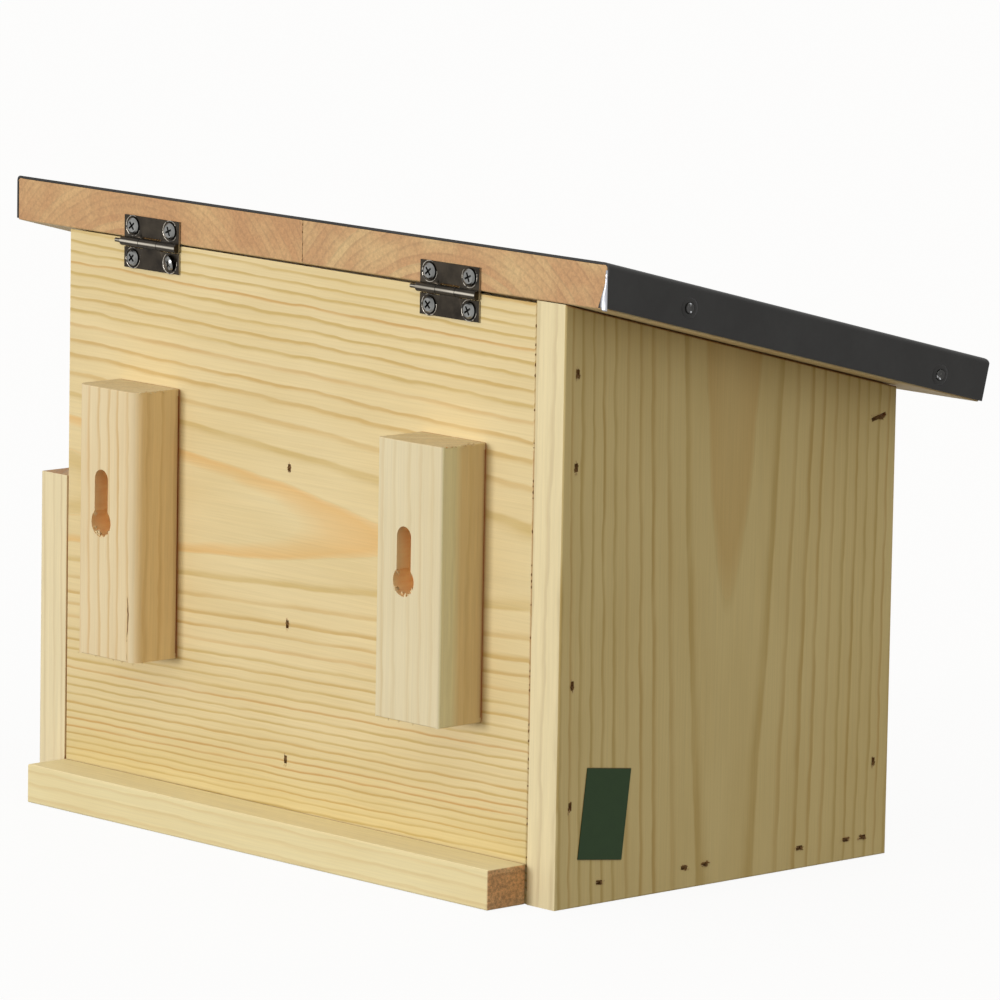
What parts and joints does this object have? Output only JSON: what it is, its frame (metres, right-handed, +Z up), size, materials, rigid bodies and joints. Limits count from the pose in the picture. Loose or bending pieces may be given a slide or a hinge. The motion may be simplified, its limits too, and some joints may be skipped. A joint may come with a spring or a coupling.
{
  "type": "squirrel feeder box",
  "caption": "Wall-hung pine feeder box with a sloping hinged lid clad in folded metal, a windowed feed bin and an open porch over a low side wall.",
  "frame": {"origin": "on the plane of the box's foot, under the middle of the whole object with its lid closed", "axes": "+Z up; +Y towards the wall that it hangs on, so the front faces -Y; +X to the right as seen from the front, towards the low side wall"},
  "size_m": [0.2604, 0.173, 0.1882],
  "materials": {
    "pine": "planed, bare",
    "batten_pine": "sawn, bare",
    "roof_pine": "sawn, bare",
    "roof_steel": "satin anthracite coating",
    "roof_nail_steel": "satin anthracite coating",
    "hinge_steel": "darkened, lightly rubbed",
    "screw_zinc": "bright zinc plate",
    "brad_steel": "bare, dull",
    "acrylic": "clear, polished",
    "label": "satin film, blank"
  },
  "bodies": {
    "box": {"back_panel": "pine", "full_side_panel": "pine", "low_side_panel": "pine", "floor_board": "pine", "front_board": "pine", "front_rail": "pine", "partition": "pine", "left_hanger": "batten_pine", "right_hanger": "batten_pine", "bottom_spacer": "batten_pine", "window_pane": "acrylic", "left_hinge_lower_leaf": "hinge_steel", "left_hinge_pin": "hinge_steel", "right_hinge_lower_leaf": "hinge_steel", "right_hinge_pin": "hinge_steel", "lower_leaf_screws": "screw_zinc", "hanger_screws": "screw_zinc", "full_side_brads": "brad_steel", "low_side_brads": "brad_steel", "partition_brads": "brad_steel", "front_brads": "brad_steel", "spacer_brads": "brad_steel", "blank_label": "label"},
    "lid": {"left_roof_board": "roof_pine", "right_roof_board": "roof_pine", "roof_sheet": "roof_steel", "roof_sheet_nails": "roof_nail_steel", "left_hinge_upper_leaf": "hinge_steel", "right_hinge_upper_leaf": "hinge_steel", "upper_leaf_screws": "screw_zinc"}
  },
  "joints": [
    {"name": "lid_hinge", "type": "hinge", "parent": "box", "child": "lid", "pos_m": [0.0022, 0.07105, 0.1735], "axis": [-1, 0, 0], "range_deg": [0, 104]}
  ]
}
